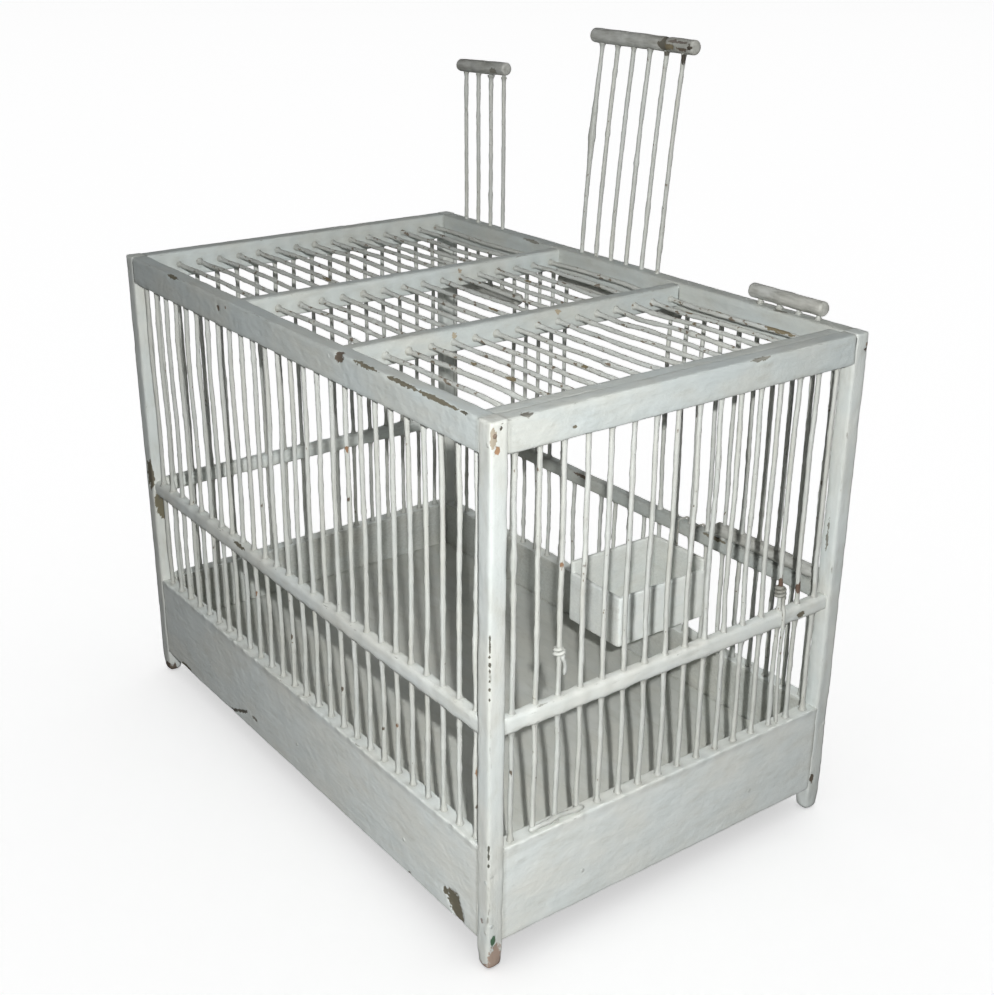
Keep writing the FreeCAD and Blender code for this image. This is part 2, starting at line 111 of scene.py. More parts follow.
# Chips, stains and nail spots in the paint of each node: centre, radii, colour, depth.
MARKS = {
    "top_rail_front": [
        ((64, -117.2, 280), (4, 3, 3.2), UMBER, 0.4),
        ((86, -117.2, 281.8), (11, 1.2, 1.0), OLIVE, 0.25),
        ((118, -117.2, 281.5), (14, 1.5, 1.35), OLIVE, 0.35),
        ((143, -117.2, 281.5), (16, 1.4, 1.25), OLIVE, 0.35),
        ((166, -117.2, 281.4), (2.2, 0.8, 0.75), CHIP, 0.25),
        ((-63, -117.3, 276), (1.6, 2, 1.6), UMBER, 0.5),
        ((-120, -117.2, 281.6), (7, 1.2, 1.1), OLIVE, 0.2),
    ],
    "top_rail_right": [
        ((183.4, -98, 282), (1.9, 3.2, 1.2), (0.17, 0.17, 0.15), 0.25),
        ((184.8, -73, 271), (1, 1.6, 0.9), OLIVE, 0.3),
        ((184.6, 40, 281.6), (1.2, 6, 1.0), GREY_OLD, 0.2),
    ],
    "post_front_right": [
        ((185, -116.2, 275.2), (1.5, 1.5, 4.8), TAN_WOOD, 0.25),
        ((185, -114.4, 269.2), (1.5, 1.6, 1.9), (0.34, 0.20, 0.11), 0.3),
        ((185, -112.0, 278.8), (1.5, 0.8, 1.2), DARK, 0.3),
        ((179.6, -117.5, 28), (1.5, 1.5, 1.5), (0.26, 0.22, 0.21), 0.3),
        ((185, -113, 6), (3.4, 4.2, 9.5), PINK_WOOD, 0.2),
        ((180, -115, 0.5), (7, 5, 3), PINK_WOOD, 0.1),
        ((185.2, -114.6, 17.5), (1.6, 1.7, 3.4), GREEN, 0.0),
    ],
    "base_board_front": [
        ((148.6, -117, 26.4), (1.9, 2, 2.4), OLIVE, 0.4),
        ((153.4, -117, 27.2), (3.2, 2, 3.0), OLIVE, 0.5),
        ((156.2, -117, 24.8), (5.8, 2, 5.2), OLIVE, 0.5),
        ((158.6, -117, 20.8), (5.4, 2, 5.0), OLIVE, 0.5),
        ((160.8, -117, 17.2), (3.5, 2, 3.6), OLIVE, 0.5),
        ((161.2, -117, 14.8), (1.8, 2, 2.0), OLIVE, 0.5),
        ((116, -117, 16), (1.6, 1.5, 1.2), UMBER, 0.3),
        ((-52.5, -117, 24.6), (3.4, 1.5, 1.1), GREY_OLD, 0.2),
        ((-150, -117, 16.5), (9, 1.5, 1.4), OLIVE, 0.3),
    ],
    "base_board_left": [
        ((-184.5, 20, 16), (1.5, 10, 1.6), OLIVE, 0.3),
        ((-184.5, -70, 44), (1.5, 3, 2), OLIVE, 0.3),
    ],
    "base_board_back": [
        ((-90, 117, 16), (12, 1.5, 1.4), OLIVE, 0.3),
        ((70, 117, 40), (3, 1.5, 2), OLIVE, 0.3),
    ],
    "post_front_left": [
        ((-178, -117.5, 142), (4.5, 1.4, 10), (0.13, 0.12, 0.085), 0.2),
        ((-175.5, -113.2, 122.6), (1.4, 4.4, 7.5), STAIN, 0.1),
        ((-175.5, -112.2, 115), (1.4, 2.6, 4), STAIN, 0.1),
        ((-175.5, -112.4, 126.2), (1.4, 3.4, 2.6), CRACK, 0.1),
        ((-184.9, -117, 60), (0.9, 0.9, 9), OLIVE, 0.3),
        ((-180, -116, 2), (7, 5, 5), UMBER, 0.2),
    ],
    "post_back_right": [
        ((185, 116, 273), (1.2, 1.2, 1.4), UMBER, 0.4),
        ((179.6, 108, 172), (0.4, 1, 11), GREY_OLD, 0.2),
        ((178.9, 108, 152), (0.45, 1, 8), GREY_OLD, 0.25),
        ((185, 110, 22), (1.4, 1.6, 3), UMBER, 0.3),
    ],
    "post_back_left": [
        ((-180, 115, 3), (7, 5, 5), UMBER, 0.2),
        ((-185, 116, 220), (0.9, 0.9, 12), OLIVE, 0.3),
    ],
    "door_sill": [
        ((-23, 109.4, 138.6), (8, 1.4, 1.3), UMBER, 0.3),
        ((95, 109.4, 139), (10, 1.4, 1.1), OLIVE, 0.3),
    ],
    "mid_rail_right": [((183.6, 88, 132), (1.2, 3.2, 2), OLIVE, 0.2)],
    "mid_rail_front": [((-60, -116.1, 136), (7, 1.2, 1.2), OLIVE, 0.2)],
    "roof_bar_right": [
        ((58, 20, 279.5), (1.2, 1.7, 1.5), (0.40, 0.34, 0.24), 0.0),
        ((58, -47, 277), (1.2, 1.4, 1.8), (0.40, 0.35, 0.26), 0.0),
    ],
    "roof_bar_left": [((-50, 33, 278), (1.2, 1.6, 1.7), (0.38, 0.32, 0.24), 0.0)],
    "top_rail_back": [
        ((-80, 108.2, 281.4), (9, 1.3, 1.2), GREY_OLD, 0.2),
        ((132, 110, 282), (5, 1.4, 0.8), GREY_OLD, 0.2),
    ],
    "top_rail_left": [((-184.6, 40, 281.4), (1.3, 9, 1.3), OLIVE, 0.3)],
    "door_middle_handle": [
        ((20.2, 110, 403.5), (1.9, 9, 9), CRACK, 0.35),
        ((17.4, 109.2, 403.8), (2.0, 2.4, 1.7), CRACK, 0.3),
        ((24.4, 109.2, 402.8), (4.4, 2.6, 1.6), (0.19, 0.16, 0.095), 0.2),
        ((31.5, 109.2, 405.8), (8, 1.6, 0.9), (0.17, 0.15, 0.135), 0.2),
        ((35, 108.8, 402.0), (5, 1.5, 0.8), UMBER, 0.25),
        ((40.6, 108.9, 403.4), (1.6, 2, 1.2), DARK, 0.3),
    ],
    "door_left_handle": [((-120, 109, 379), (4, 3, 2), GREY_OLD, 0.2)],
}
# Small chips along the near edge of the near post: height, half length.
EDGE_CHIPS = [(182.8, 2.0), (179.6, 1.4), (176.6, 1.6), (173.8, 1.0), (169.2, 1.5), (166.2, 1.0),
              (161.3, 1.1), (157.2, 0.9), (152.1, 0.8), (72.4, 1.8), (67.6, 2.0), (62.6, 1.2)]
for height, half_length in EDGE_CHIPS:
    chip_radii = (0.65, 0.65, half_length)
    MARKS["post_front_right"].append(((184.7, -117.2, height), chip_radii, CHIP, 0.2))
# A crack that runs up the front board from its lower edge, and fades out.
for share in np.linspace(0, 1, 12):
    crack_place = (-85 + 21.5 * share, -117, 15.2 + 9.0 * share)
    MARKS["base_board_front"].append((crack_place, (1.5, 1.5, 1.15), CRACK, 0.3))


# Shares of a mark's radii at which its colour and its pit are whole and gone, and its farthest reach.
MARK_FULL, MARK_GONE = 0.45, 1.55
PIT_FULL, PIT_GONE = 0.8, 1.2
MARK_REACH = 2.2


class Shell:
    """One closed surface: points in millimetres, faces, and what its paint reads at each point."""

    def __init__(self, points, faces, flow, **values):
        count = len(points)
        self.points, self.faces = points, faces
        self.values = {key: np.zeros(count) for key in PAINT_VALUES}
        self.values.update(flow=flow, tint=np.tile(np.array(UMBER), (count, 1)))
        self.values.update(values)

    def darken_to(self, amount):
        """Raises the dirt and painted shade at each point to at least the amount."""
        self.values["grime_and_shade"] = np.maximum(self.values["grime_and_shade"], amount)


def mark_up(node, points, seed):
    """(mask, colour, depth) of the node's marks at each point."""
    mask = np.zeros(len(points))
    colour = np.tile(np.array(OLIVE), (len(points), 1))
    depth = np.zeros(len(points))
    for centre, radii, tint, deep in MARKS.get(node, []):
        away = np.linalg.norm((points - centre) / radii, axis=1)
        near = np.flatnonzero(away < MARK_REACH)
        ragged = away[near] + 0.3 * noise(points[near], 2.1, seed + 5)
        m = smooth(-away[near], -MARK_GONE, -MARK_FULL)
        colour[near[m > mask[near] * 0.999]] = tint
        mask[near] = np.maximum(mask[near], m)
        depth[near] = np.maximum(depth[near], deep * smooth(-ragged, -PIT_GONE, -PIT_FULL))
    return mask, colour, depth


def outline(half, edge, step):
    """A rounded rectangle, anticlockwise: points, outward normals and a share of 1 on its corners."""
    points, normals, corner = [], [], []
    core = (half[0] - edge, half[1] - edge)
    turns = 4
    for quarter, (su, sv) in enumerate(((1, 1), (-1, 1), (-1, -1), (1, -1))):
        centre = (su * core[0], sv * core[1])
        for k in range(turns + 1):
            a = math.pi / 2 * (quarter + k / turns)
            n = (math.cos(a), math.sin(a))
            points.append((centre[0] + edge * n[0], centre[1] + edge * n[1]))
            normals.append(n)
            corner.append(math.sin(math.pi * k / turns) ** 0.5 if 0 < k < turns else 0.35)
        last, n = points[-1], normals[-1]
        run = 2 * (core[0] if quarter % 2 == 0 else core[1])
        pieces = max(1, round(run / step))
        ahead = (-n[1], n[0])
        for k in range(1, pieces):
            d = run * k / pieces
            points.append((last[0] + ahead[0] * d, last[1] + ahead[1] * d))
            normals.append(n)
            corner.append(0.0)
    return np.array(points), np.array(normals), np.array(corner)


def loft(count, around):
    """Faces of rings of equal length, closed by fans on the two points that follow the rings."""
    j = np.arange(around)
    nxt = (j + 1) % around
    faces = []
    top = (count - 1) * around
    for a in range(0, top, around):
        b = a + around
        faces += np.stack([a + j, a + nxt, b + nxt, b + j], 1).tolist()
    first, last = np.full(around, top + around), np.full(around, top + around + 1)
    faces += np.stack([first, nxt, j], 1).tolist()
    faces += np.stack([top + j, top + nxt, last], 1).tolist()
    return faces


def stations(low, high, ends, arcs, step):
    """Rings along a bar with rounded ends: place, inset of the section, its scale after that, share
    of the normal that is along the bar, and a share of 1 half way round the rounding."""
    rings = [(low, ends[0], k / 3, -1.0, 0.0) for k in (1, 2)]
    quarter = [(math.sin(a), math.cos(a), math.sin(2 * a)) for a in np.linspace(0, math.pi / 2, arcs + 1)]
    for sin, cos, rim in reversed(quarter):
        rings.append((low + ends[0] * (1 - sin), ends[0] * (1 - cos), 1.0, -sin, rim))
    length = high - low - ends[0] - ends[1]
    pieces = max(2, round(length / step))
    rings += [(low + ends[0] + length * k / pieces, 0.0, 1.0, 0.0, 0.0) for k in range(1, pieces)]
    for sin, cos, rim in quarter:
        rings.append((high - ends[1] * (1 - sin), ends[1] * (1 - cos), 1.0, sin, rim))
    return rings + [(high, ends[1], k / 3, 1.0, 0.0) for k in (2, 1)]


# Brush ridges in the paint of bars: size along and across, and depth. Size of worn stretches of edge.
BRUSH_SIZE, BRUSH_DEPTH = (38, 1.9, 1.9), 0.05
WEAR_SIZE = (9, 4, 4)
# Steps round a bar's end and round a rod's end.
BAR_ARCS, ROD_ARCS = 3, 4
# How round the foot of a post gets, and the wear on the rim of an end with at least this rounding.
FOOT_ROUND = 0.6
RIM_WEAR, RIM_FULL = 0.8, 0.5


def bar(node, low, high, axis, edge, step, ends, seed, wavy, worn, peg=0.0):
    """A painted wooden bar that fills a box, with worn edges, brush ridges and its node's marks."""
    low, high = np.array(low, float), np.array(high, float)
    t = "xyz".index(axis)
    u, v = (t + 1) % 3, (t + 2) % 3
    half = (high - low)[[u, v]] / 2
    mid = (high + low)[[u, v]] / 2
    shape, normal, corner = outline(half, min(edge, 0.95 * half.min()), step)
    around = len(shape)
    rims = [RIM_WEAR * min(1.0, end / RIM_FULL) for end in ends]
    rings = stations(low[t], high[t], ends, BAR_ARCS, step)
    points = np.zeros((len(rings), around, 3))
    normals = np.zeros_like(points)
    worn_at = np.zeros((len(rings), around))
    disc = shape / np.linalg.norm(shape, axis=1)[:, None] * half.min()
    for i, (place, inset, scale, turn, rim) in enumerate(rings):
        rounder = FOOT_ROUND * (1 - smooth(place - low[t], 0, peg)) if peg else 0.0
        section = (shape * (1 - rounder) + disc * rounder) * (1 - inset / half) * scale
        flat = math.sqrt(max(0.0, 1 - turn * turn))
        points[i, :, t] = place
        normals[i, :, t] = turn
        for k, side in enumerate((u, v)):
            points[i, :, side] = mid[k] + section[:, k]
            normals[i, :, side] = normal[:, k] * flat
        worn_at[i] = np.maximum(corner * flat, rim * rims[0 if turn < 0 else 1])
    tips = np.zeros((2, 3))
    tips[:, [u, v]] = mid
    tips[:, t] = low[t], high[t]
    ways = np.zeros((2, 3))
    ways[:, t] = -1, 1
    p = np.concatenate([points.reshape(-1, 3), tips])
    n = np.concatenate([normals.reshape(-1, 3), ways])
    rub = np.concatenate([worn_at.reshape(-1), [0, 0]])
    flow = np.stack([p[:, t] + 41.0 * seed, p[:, u], p[:, v] + 3.0 * seed], 1)
    push = wavy * (noise(p, 21, seed) + 0.5 * noise(p, 6, seed + 1) + 0.35 * noise(p, 3.1, seed + 7))
    push += BRUSH_DEPTH * noise(flow, BRUSH_SIZE, seed + 2)
    rubbed = np.clip(noise(flow, WEAR_SIZE, seed + 3), 0, 1)
    nicked = np.clip(noise(p, 3, seed + 4), 0, 1)
    push -= rub * worn * (0.25 + rubbed + 0.4 * nicked)
    mask, colour, depth = mark_up(node, p, seed)
    p = p + n * (push - depth)[:, None]
    return Shell(p, loft(len(rings), around), flow, mask=mask, tint=colour, edge=rub)


# Dirt and painted shade in the corners round the wire roots: how far it reaches past the wire, and its
# strength.
ROOT_RADIUS, ROOT_DIRT_SHADE_REACH, ROOT_DIRT_SHADE_STRENGTH = 1.2, 2.2, 0.4
# Painted shade on the inner faces of the base boards, inside the cage.
INNER_SHADE = 0.5


def dirt_and_shade_at_roots(shell, roots):
    """Dirt and painted shade in the corners round each wire's root."""
    for root in roots:
        away = np.linalg.norm(shell.points - root, axis=1)
        fade = np.exp(-np.clip(away - ROOT_RADIUS, 0, None) / ROOT_DIRT_SHADE_REACH)
        shell.darken_to(np.where(away < 3 * ROOT_DIRT_SHADE_REACH, ROOT_DIRT_SHADE_STRENGTH * fade, 0.0))


# Ridge of paint on a board's edge: where it ends and where it is whole, the sizes of its lumps, and
# how far it stands up and out. Webs of paint up to the wires: half width, height, and how far out.
BEAD_GONE, BEAD_FULL = 3.4, 0.4
BEAD_LUMPS = ((7, 7, 50), (2.6, 2.6, 50))
BEAD_UP, BEAD_OUT = 0.8, 0.75
WEB_HALF, WEB_HEIGHT, WEB_UP, WEB_OUT = 1.7, 3.5, 0.45, 0.35
# Lumps of paint where wires enter a thin rail.
KNUCKLE_SIZE = (3.2, 3.2, 3.6)


def bead(shell, across, top, roots):
    """An uneven ridge of paint along a board's upper outer edge, with webs up to the wire roots."""
    c = "xyz".index(across)
    p = shell.points
    outer = np.abs(p[:, c]).max()
    close = smooth(-np.hypot(np.abs(p[:, c]) - outer, p[:, 2] - top), -BEAD_GONE, -BEAD_FULL)
    ridge = close * (0.42 + 0.34 * noise(p, BEAD_LUMPS[0], 61) + 0.22 * noise(p, BEAD_LUMPS[1], 62))
    web = np.zeros(len(p))
    for root in roots:
        gap = np.delete(p - root, c, axis=1)
        rise = smooth(p[:, 2], top - WEB_HEIGHT, top)
        web = np.maximum(web, np.exp(-((gap[:, 0] / WEB_HALF) ** 2)) * rise)
    p[:, 2] += ridge * BEAD_UP + WEB_UP * web * close
    p[:, c] += np.sign(p[:, c]) * (ridge * BEAD_OUT + WEB_OUT * web * close)


def shade_inner_face(shell, across):
    """Painted shade on the inner face of a base board, inside the cage."""
    inward = np.abs(shell.points[:, "xyz".index(across)])
    shell.darken_to(np.where(inward < inward.min() + 0.8, INNER_SHADE, 0.0))


def knuckle(shell, middle, along, roots):
    """Lumps of paint on a thin rail where the wires enter it."""
    out = shell.points - middle
    out[:, along] = 0
    out /= np.linalg.norm(out, axis=1)[:, None] + 1e-6
    rise = np.zeros(len(out))
    for number, root in enumerate(roots):
        away = np.linalg.norm((shell.points - root) / KNUCKLE_SIZE, axis=1)
        rise = np.maximum(rise, (0.45 + 0.3 * lattice(number, along, 5, 71)) * np.exp(-away ** 2))
    rise += 0.22 * noise(shell.points, 8.0, 72)
    shell.points += out * rise[:, None]


# Round rods: sides, spacing of rings and rounding of the ends.
ROD_SIDES, ROD_STEP, ROD_END = 22, 1.5, 1.6


def circle(sides):
    """Angles of a circle's points, and the points."""
    angle = np.linspace(0, 2 * math.pi, sides, endpoint=False)
    return angle, np.stack([np.cos(angle), np.sin(angle)], 1)


def round_bar(node, low, high, seed, tilt=0.0, shift=(0, 0, 0), slim=0.0):
    """A round wooden rod along X that fills a box, slightly uneven, with its node's marks."""
    radius = (high[2] - low[2]) / 2
    rings = stations(low[0], high[0], (ROD_END, ROD_END), ROD_ARCS, ROD_STEP)
    around = np.pad(circle(ROD_SIDES)[1], ((0, 0), (1, 0)))
    points, normals = [], []
    for x, inset, scale, turn, _ in rings:
        flat = math.sqrt(max(0, 1 - turn * turn))
        points.append(around * (radius - inset) * scale + (x, 0, 0))
        normals.append(around * flat + (turn, 0, 0))
    p = np.concatenate(points + [np.array([[low[0], 0, 0], [high[0], 0, 0]])])
    n = np.concatenate(normals + [np.array([[-1, 0, 0], [1, 0, 0]])])
    p[:, 1:] += (low + high)[1:] / 2
    flow = np.stack([p[:, 0] + 53.0 * seed, p[:, 1], p[:, 2] + 7.0 * seed], 1)
    push = 0.22 * noise(p, 9, seed) + 0.14 * noise(p, 3.6, seed + 1) - slim
    push += 0.09 * noise(flow, (20, 1.7, 1.7), seed + 2)
    mask, colour, depth = mark_up(node, p, seed)
    p = p + n * (push - depth)[:, None]
    p[:, 2] += tilt * (p[:, 0] - (low[0] + high[0]) / 2) / (high[0] - low[0])
    p += shift
    rub = np.abs(n[:, 0]) * 0.5
    return Shell(p, loft(len(rings), ROD_SIDES), flow, mask=mask, tint=colour, edge=rub)


def solids(node):
    """Lowest and highest corner, in millimetres, of each separate solid of a CAD node."""
    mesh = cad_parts[node].data
    places = np.empty(len(mesh.vertices) * 3, np.float32)
    mesh.vertices.foreach_get("co", places)
    places = places.reshape(-1, 3) / MM
    corners = np.empty(len(mesh.loops), np.int32)
    mesh.loops.foreach_get("vertex_index", corners)
    _, same = np.unique(np.round(places, 2), axis=0, return_inverse=True)
    same = same.reshape(-1)
    triangles = same[corners].reshape(-1, 3)
    label = np.arange(same.max() + 1)
    while True:
        least = label[triangles].min(1)
        new = label.copy()
        for k in range(3):
            np.minimum.at(new, triangles[:, k], least)
        new = new[new]
        if (new == label).all():
            break
        label = new
    groups = label[same]
    boxes = []
    for group in np.unique(groups):
        own = places[groups == group].astype(float)
        boxes.append((own.min(0), own.max(0)))
    return sorted(boxes, key=lambda b: tuple(np.round((b[0] + b[1]) / 2, 1)))


# Rust specks and stains on the wires of each node: centre, half length, half width, colour. They
# sit on the outer side of the wire.
OLD_STAIN = (0.20, 0.165, 0.10)
WIRE_SPOTS = {
    "wires_right": [
        ((180.25, -74.25, 205), 2.0, 1.0, RUST),
        ((180.25, -60.75, 202), 1.4, 0.9, UMBER),
        ((180.25, -101.25, 106), 2.0, 0.9, UMBER),
        ((180.25, 74.25, 152), 4.5, 2.2, (0.12, 0.07, 0.05)),
        ((180.25, 87.75, 147), 4.0, 2.0, (0.12, 0.075, 0.055)),
        ((180.25, 6.75, 215), 1.6, 0.9, UMBER),
    ],
    "wires_front": [
        ((168.75, -112.75, 104), 3.0, 0.9, RUST),
        ((168.75, -112.75, 86), 2.0, 0.8, UMBER),
        ((60.75, -112.75, 232), 2.0, 1.2, RUST),
        ((60.75, -112.75, 205), 1.6, 1.0, UMBER),
        ((47.25, -112.75, 92), 2.0, 0.9, UMBER),
        ((87.75, -112.75, 88), 1.5, 0.8, UMBER),
        ((101.25, -112.75, 96), 2.0, 0.9, RUST),
        ((-6.75, -112.75, 100), 2.6, 1.0, UMBER),
        ((-33.75, -112.75, 170), 1.5, 0.9, UMBER),
        ((-47.25, -112.75, 110), 1.6, 0.9, RUST),
        ((-101.25, -112.75, 120), 1.6, 0.9, UMBER),
    ],
    "wires_roof": [
        ((125, -60.75, 274), 4.5, 1.4, OLD_STAIN),
        ((128, -20.25, 274), 3.0, 1.6, (0.17, 0.14, 0.08)),
        ((96, -60.75, 274), 3.0, 1.2, OLD_STAIN),
        ((108, 74.25, 274), 9, 1.3, OLD_STAIN),
        ((140, 101.25, 274), 13, 1.4, OLD_STAIN),
        ((100, 101.25, 274), 8, 1.2, OLD_STAIN),
        ((88, 87.75, 274), 6, 1.3, (0.22, 0.17, 0.11)),
        ((20, 6.75, 274), 5, 1.3, OLD_STAIN),
        ((-90, -33.75, 274), 6, 1.3, OLD_STAIN),
        ((-20, 60.75, 274), 5, 1.3, OLD_STAIN),
    ],
    "door_middle_wires": [
        ((33.75, 112.75, 397), 2.4, 3, DARK),
        ((20.25, 112.75, 398.8), 1.2, 3, CRACK),
        ((33.75, 112.75, 318), 1.2, 1.2, UMBER),
    ],
}
OUTER_SIDE = np.array([0.66, -0.5, 0.56])
# Lumps of paint on the wires: node, index, place along the wire, size, half length.
WIRE_LUMPS = [
    ("wires_right", 0, 214, 1.0, 3.5), ("wires_right", 0, 196, 0.6, 2.5), ("wires_right", 5, 240, 0.5, 2),
    ("wires_right", 9, 110, 0.5, 3), ("wires_front", 25, 196, 0.6, 2), ("wires_front", 18, 150, 0.5, 2.5),
    ("wires_front", 11, 220, 0.5, 2), ("wires_front", 4, 100, 0.6, 2), ("wires_roof", 4, 96, 0.6, 2.5),
    ("wires_roof", 7, 128, 0.8, 2), ("wires_roof", 10, 70, 0.6, 3), ("wires_roof", 12, 120, 0.7, 3),
    ("wires_roof", 2, 20, 0.6, 2), ("wires_back", 6, 200, 0.5, 3), ("wires_left", 8, 180, 0.5, 3),
    ("door_middle_wires", 0, 352, 1.3, 15), ("door_middle_wires", 3, 340, 0.4, 4),
    ("door_middle_wires", 5, 318, 0.5, 1.5), ("door_left_wires", 2, 300, 0.4, 4),
]


# Wires: sides, spacing of rings, least spacing, and places of rings beside a collar.
WIRE_SIDES = 10
WIRE_STEP, WIRE_LEAST = 2.1, 0.28
COLLAR_RINGS = (-0.4, 0.0, 0.45, 1.0, 1.7, 2.6)
# How far from a collar a wire bends freely, and how quickly a collar's paint and its dirt and painted shade
# fade out.
FREE_LENGTH, FILLET_FADE, COLLAR_FADE = 26, 1.2, 1.3
COLLAR_DIRT_AND_SHADE = 0.4


def lengths(line):
    """Length along a line up to each of its points."""
    return np.concatenate([[0], np.cumsum(np.linalg.norm(np.diff(line, axis=0), axis=1))])


def resample(line, at, places):
    """Points of a line at other places along it."""
    return np.stack([np.interp(places, at, line[:, k]) for k in range(3)], 1)


def tube_flow(run, turn, seed):
    """Paint directions of a tube: along it, round it, and apart from other tubes."""
    apart = 29.0 * seed
    rows = [np.repeat(run, len(turn)), np.tile(turn, len(run)), np.full(len(run) * len(turn), apart)]
    return np.concatenate([np.stack(rows, 1), [[run[0], 0, apart], [run[-1], 0, apart]]])


def wire(node, index, low, high, collars, seed, sway, rust, lean=None):
    """One painted wire along the long side of its box, with paint fillets at its collars."""
    rng = np.random.default_rng(seed)
    t = int(np.argmax(high - low))
    u, v = (t + 1) % 3, (t + 2) % 3
    radius = (high[u] - low[u]) / 2
    mid = (low + high) / 2
    places = list(np.arange(low[t] + 0.6, high[t] - 0.6, WIRE_STEP))
    for at, way in collars:
        places += [at + way * d for d in COLLAR_RINGS]
    rows = [low[t]]
    for place in sorted(places):
        if place <= high[t] and place - rows[-1] > WIRE_LEAST:
            rows.append(place)
    s = np.array(rows + [high[t]])
    held = np.ones(len(s))
    for at, _ in collars:
        held *= smooth(np.abs(s - at), 0, FREE_LENGTH)
    line = np.stack([s, np.full(len(s), 17.0 * seed), np.zeros(len(s))], 1)
    bends = [noise(line, 55, 11) + 0.3 * noise(line, 17, 12), noise(line, 60, 13) + 0.3 * noise(line, 19, 14)]
    bend = sway * held[:, None] * np.stack(bends, 1)
    thick = radius * (1 + 0.07 * noise(line, 9, 15) + 0.075 * noise(line, 3.4, 16))
    for at, way in collars:
        out = (s - at) * way
        fillet = radius * (0.4 + 0.45 * rng.random()) * np.exp(-np.clip(out, 0, None) / FILLET_FADE)
        thick += np.where(out > -0.5, fillet, 0)
    for _ in range(rng.integers(2, 6)):
        at = rng.uniform(s[0], s[-1])
        height = radius * rng.uniform(0.08, 0.24)
        thick += height * np.exp(-(((s - at) / rng.uniform(0.9, 2.6)) ** 2))
    drip = np.zeros(len(s))
    for name, which, at, size, half_length in WIRE_LUMPS:
        if (name, which) == (node, index):
            swell = size * np.exp(-(((s - at) / half_length) ** 2))
            thick += 0.35 * swell
            drip -= 0.6 * swell
    angle, ring = circle(WIRE_SIDES)
    out = np.zeros((len(s), WIRE_SIDES, 3))
    out[:, :, [u, v]] = ring
    p = out * thick[:, None, None]
    p[:, :, t] = s[:, None]
    p[:, :, u] += mid[u] + bend[:, :1] + drip[:, None] * (ring[:, 0] < 0)
    p[:, :, v] += mid[v] + bend[:, 1:]
    flat = p.reshape(-1, 3)
    rough = 0.09 * noise(flat + 9.0 * seed, 1.9, 21)
    flat = np.concatenate([flat + out.reshape(-1, 3) * rough[:, None], [p[0].mean(0), p[-1].mean(0)]])
    flow = tube_flow(s, angle * radius, seed)
    mask = np.zeros(len(flat))
    colour = np.tile(np.array(UMBER), (len(flat), 1))
    for centre, half_length, width, tint in WIRE_SPOTS.get(node, []):
        centre = np.array(centre, float)
        if np.abs(centre - mid)[[u, v]].max() < 2:
            away = (flat - centre - radius * OUTER_SIDE) / width
            away[:, t] = (flat[:, t] - centre[t]) / half_length
            close = np.linalg.norm(away, axis=1) + 0.35 * noise(flat, 1.3, 31)
            colour[close < MARK_REACH] = tint
            mask = np.maximum(mask, 0.9 * smooth(-close, -1.3, -0.6))
    rusty = np.full(len(flat), rust)
    made = Shell(flat, loft(len(s), WIRE_SIDES), flow, mask=mask, tint=colour, rust=rusty)
    # Dirt and painted shade on the wire beside each collar, where it enters the wood.
    for at, _ in collars:
        made.darken_to(COLLAR_DIRT_AND_SHADE * np.exp(-np.abs(flat[:, t] - at) / COLLAR_FADE))
    if lean is not None:
        made.points = flat + lean(flat)
    return made


def sweep(points, radii, sides=WIRE_SIDES, seed=0, rust=0.3):
    """A tube along a bent line, its ends closed."""
    points = np.array(points, float)
    tangent = np.gradient(points, axis=0)
    tangent /= np.linalg.norm(tangent, axis=1)[:, None]
    side = np.cross(tangent[0], (0.3, 0.5, 0.81))
    angle, ring = circle(sides)
    rings = []
    for centre, ahead, radius in zip(points, tangent, np.broadcast_to(radii, len(points))):
        side = side - ahead * (side @ ahead)
        side /= np.linalg.norm(side)
        rings.append(centre + radius * (ring @ np.stack([side, np.cross(ahead, side)])))
    flat = np.concatenate(rings + [points[:1], points[-1:]])
    flow = tube_flow(lengths(points), angle, seed)
    return Shell(flat, loft(len(points), sides), flow, rust=np.full(len(flat), rust))


def add(tree, kind, links=None, **settings):
    """A new shader node; its inputs are linked to sockets or set to values."""
    made = tree.nodes.new(kind)
    for name, value in settings.items():
        setattr(made, name, value)
    for key, value in (links or {}).items():
        if isinstance(value, bpy.types.NodeSocket):
            tree.links.new(value, made.inputs[key])
        else:
            made.inputs[key].default_value = value
    return made


